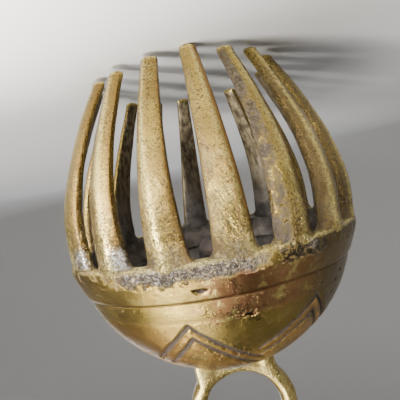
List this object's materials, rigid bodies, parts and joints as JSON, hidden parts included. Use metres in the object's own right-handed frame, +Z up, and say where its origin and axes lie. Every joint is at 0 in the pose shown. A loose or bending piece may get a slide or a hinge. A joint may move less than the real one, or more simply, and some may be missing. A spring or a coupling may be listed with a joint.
{
  "type": "claw bell",
  "caption": "Hanging claw bell: a cast brass dome with inward-curving claws round its mouth, a loop on the crown and an iron clapper that swings inside.",
  "frame": {"origin": "centre of the bell's footprint, on the level of the longest claws' tips, which the bell stands on", "axes": "+Z up along the bell's axis, from the claw tips to the hanging loop; +Y is the back, and the loop's eye runs along Y; +X is to the right seen from the front"},
  "size_m": [0.1204, 0.1205, 0.1734],
  "materials": {
    "cast_brass": "worn and patinated",
    "clapper_iron": "forged, dark"
  },
  "bodies": {
    "bell": {"bell_dome": "cast_brass", "rim_band": "cast_brass", "suspension_loop": "cast_brass", "claw_01": "cast_brass", "claw_02": "cast_brass", "claw_03": "cast_brass", "claw_04": "cast_brass", "claw_05": "cast_brass", "claw_06": "cast_brass", "claw_07": "cast_brass", "claw_08": "cast_brass", "claw_09": "cast_brass", "claw_10": "cast_brass", "claw_11": "cast_brass", "claw_12": "cast_brass", "claw_13": "cast_brass", "claw_14": "cast_brass", "claw_15": "cast_brass", "claw_16": "cast_brass", "claw_17": "cast_brass", "clapper_staple": "clapper_iron"},
    "link": {"clapper_link": "clapper_iron"},
    "clapper": {"clapper_rod": "clapper_iron", "clapper_ball": "clapper_iron"}
  },
  "joints": [
    {"name": "link_swing", "type": "hinge", "parent": "bell", "child": "link", "pos_m": [0, 0, 0.114], "axis": [1, 0, 0], "range_deg": [-58, 58]},
    {"name": "clapper_swing", "type": "hinge", "parent": "link", "child": "clapper", "pos_m": [0, 0, 0.104], "axis": [0, 1, 0], "range_deg": [-30, 30]}
  ]
}
